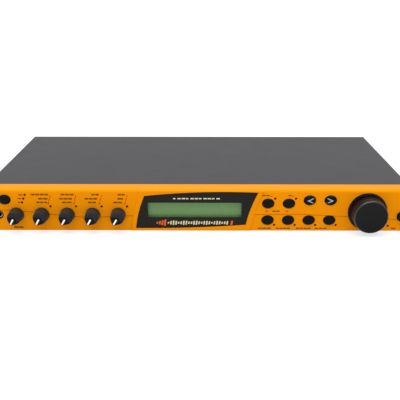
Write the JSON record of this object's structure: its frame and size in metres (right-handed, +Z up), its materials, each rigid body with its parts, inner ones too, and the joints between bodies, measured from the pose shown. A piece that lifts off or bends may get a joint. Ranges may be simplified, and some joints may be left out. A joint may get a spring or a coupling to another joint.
{
  "type": "rack effects unit",
  "caption": "One-space rack sound module with a deep orange panel, display, pointer knobs, round buttons and a large data wheel.",
  "frame": {"origin": "middle of the underside, at the centre of the bounding box's base", "axes": "+X to the right seen from the front, +Y towards the rear connectors, +Z up"},
  "size_m": [0.4826, 0.2402, 0.0437],
  "materials": {
    "bezel_orange": "satin moulded plastic, fine texture",
    "plate_orange": "satin paint",
    "cover_grey": "satin powder coat",
    "nickel": "nickel plate",
    "lens_black": "satin-gloss acrylic, printed on its back",
    "black_steel": "black lacquer",
    "lcd_glass": "yellow-green liquid crystal glass",
    "circuit_board": "solder mask over glass fibre",
    "wheel_plastic": "satin soft-touch",
    "knob_plastic": "soft-touch",
    "key_rubber": "matte",
    "shaft_metal": "turned",
    "black_plastic": "moulded",
    "transformer_iron": "varnished laminations",
    "ribbon_grey": "flat cable",
    "panel_ink": "screen-printed marks on the panel",
    "red_ink": "screen-printed leader lines",
    "cream_ink": "print behind the display window",
    "pointer_white": "moulded-in pointer line",
    "led_red": "red lens of an unlit indicator"
  },
  "bodies": {
    "chassis": {"front_bezel": "bezel_orange", "front_plate": "plate_orange", "chassis_tray": "cover_grey", "top_cover": "cover_grey", "cover_screw_right": "nickel", "cover_screw_left": "nickel", "display_lens": "lens_black", "lcd_frame": "black_steel", "lcd_glass": "lcd_glass", "lcd_board": "circuit_board", "panel_board_left": "circuit_board", "panel_board_right": "circuit_board", "encoder_body": "black_plastic", "power_switch": "black_plastic", "headphone_jack": "black_plastic", "digital_jack": "nickel", "mains_inlet": "black_plastic", "main_board": "circuit_board", "expansion_board": "circuit_board", "power_supply_board": "circuit_board", "transformer": "transformer_iron", "ribbon_cable": "ribbon_grey", "volume_pot": "black_plastic", "control_pot_1": "black_plastic", "control_pot_2": "black_plastic", "control_pot_3": "black_plastic", "control_pot_4": "black_plastic", "audio_jack_1": "black_plastic", "audio_jack_2": "black_plastic", "audio_jack_3": "black_plastic", "audio_jack_4": "black_plastic", "audio_jack_5": "black_plastic", "audio_jack_6": "black_plastic", "midi_socket_1": "black_plastic", "midi_socket_2": "black_plastic", "midi_socket_3": "black_plastic", "midi_socket_4": "black_plastic", "midi_socket_5": "black_plastic"},
    "volume_knob": {"volume_knob": "knob_plastic", "volume_shaft": "shaft_metal"},
    "control_knob_1": {"control_knob_1": "knob_plastic", "control_shaft_1": "shaft_metal"},
    "control_knob_2": {"control_knob_2": "knob_plastic", "control_shaft_2": "shaft_metal"},
    "control_knob_3": {"control_knob_3": "knob_plastic", "control_shaft_3": "shaft_metal"},
    "control_knob_4": {"control_knob_4": "knob_plastic", "control_shaft_4": "shaft_metal"},
    "data_wheel": {"data_wheel": "wheel_plastic", "encoder_shaft": "shaft_metal"},
    "row_select_button": {"row_select_button": "key_rubber"},
    "panel_button_1": {"panel_button_1": "key_rubber"},
    "panel_button_2": {"panel_button_2": "key_rubber"},
    "cursor_left_button": {"cursor_left_button": "key_rubber"},
    "cursor_right_button": {"cursor_right_button": "key_rubber"},
    "panel_button_3": {"panel_button_3": "key_rubber"},
    "panel_button_4": {"panel_button_4": "key_rubber"},
    "panel_button_5": {"panel_button_5": "key_rubber"},
    "panel_button_6": {"panel_button_6": "key_rubber"},
    "power_button": {"power_button": "key_rubber"}
  },
  "joints": [
    {"name": "volume_turn", "type": "hinge", "parent": "chassis", "child": "volume_knob", "pos_m": [-0.1834, -0.10415, 0.0177], "axis": [0, 1, 0], "range_deg": [0, 300]},
    {"name": "control_1_turn", "type": "hinge", "parent": "chassis", "child": "control_knob_1", "pos_m": [-0.1576, -0.10415, 0.0177], "axis": [0, 1, 0], "range_deg": [0, 300]},
    {"name": "control_2_turn", "type": "hinge", "parent": "chassis", "child": "control_knob_2", "pos_m": [-0.1318, -0.10415, 0.0177], "axis": [0, 1, 0], "range_deg": [0, 300]},
    {"name": "control_3_turn", "type": "hinge", "parent": "chassis", "child": "control_knob_3", "pos_m": [-0.106, -0.10415, 0.0177], "axis": [0, 1, 0], "range_deg": [0, 300]},
    {"name": "control_4_turn", "type": "hinge", "parent": "chassis", "child": "control_knob_4", "pos_m": [-0.0802, -0.10415, 0.0177], "axis": [0, 1, 0], "range_deg": [0, 300]},
    {"name": "data_wheel_turn", "type": "hinge", "parent": "chassis", "child": "data_wheel", "pos_m": [0.1718, -0.10415, 0.0209], "axis": [0, 1, 0], "continuous": true},
    {"name": "row_select_press", "type": "slide", "parent": "chassis", "child": "row_select_button", "axis": [0, 1, 0], "range_m": [0, 0.0008], "stiffness_N_per_m": 500, "springref_m": -0.001},
    {"name": "panel_button_1_press", "type": "slide", "parent": "chassis", "child": "panel_button_1", "axis": [0, 1, 0], "range_m": [0, 0.0008], "stiffness_N_per_m": 500, "springref_m": -0.001},
    {"name": "panel_button_2_press", "type": "slide", "parent": "chassis", "child": "panel_button_2", "axis": [0, 1, 0], "range_m": [0, 0.0008], "stiffness_N_per_m": 500, "springref_m": -0.001},
    {"name": "cursor_left_press", "type": "slide", "parent": "chassis", "child": "cursor_left_button", "axis": [0, 1, 0], "range_m": [0, 0.0008], "stiffness_N_per_m": 500, "springref_m": -0.001},
    {"name": "cursor_right_press", "type": "slide", "parent": "chassis", "child": "cursor_right_button", "axis": [0, 1, 0], "range_m": [0, 0.0008], "stiffness_N_per_m": 500, "springref_m": -0.001},
    {"name": "panel_button_3_press", "type": "slide", "parent": "chassis", "child": "panel_button_3", "axis": [0, 1, 0], "range_m": [0, 0.0008], "stiffness_N_per_m": 500, "springref_m": -0.001},
    {"name": "panel_button_4_press", "type": "slide", "parent": "chassis", "child": "panel_button_4", "axis": [0, 1, 0], "range_m": [0, 0.0008], "stiffness_N_per_m": 500, "springref_m": -0.001},
    {"name": "panel_button_5_press", "type": "slide", "parent": "chassis", "child": "panel_button_5", "axis": [0, 1, 0], "range_m": [0, 0.0008], "stiffness_N_per_m": 500, "springref_m": -0.001},
    {"name": "panel_button_6_press", "type": "slide", "parent": "chassis", "child": "panel_button_6", "axis": [0, 1, 0], "range_m": [0, 0.0008], "stiffness_N_per_m": 500, "springref_m": -0.001},
    {"name": "power_press", "type": "slide", "parent": "chassis", "child": "power_button", "axis": [0, 1, 0], "range_m": [0, 0.003], "stiffness_N_per_m": 400, "springref_m": -0.002}
  ]
}
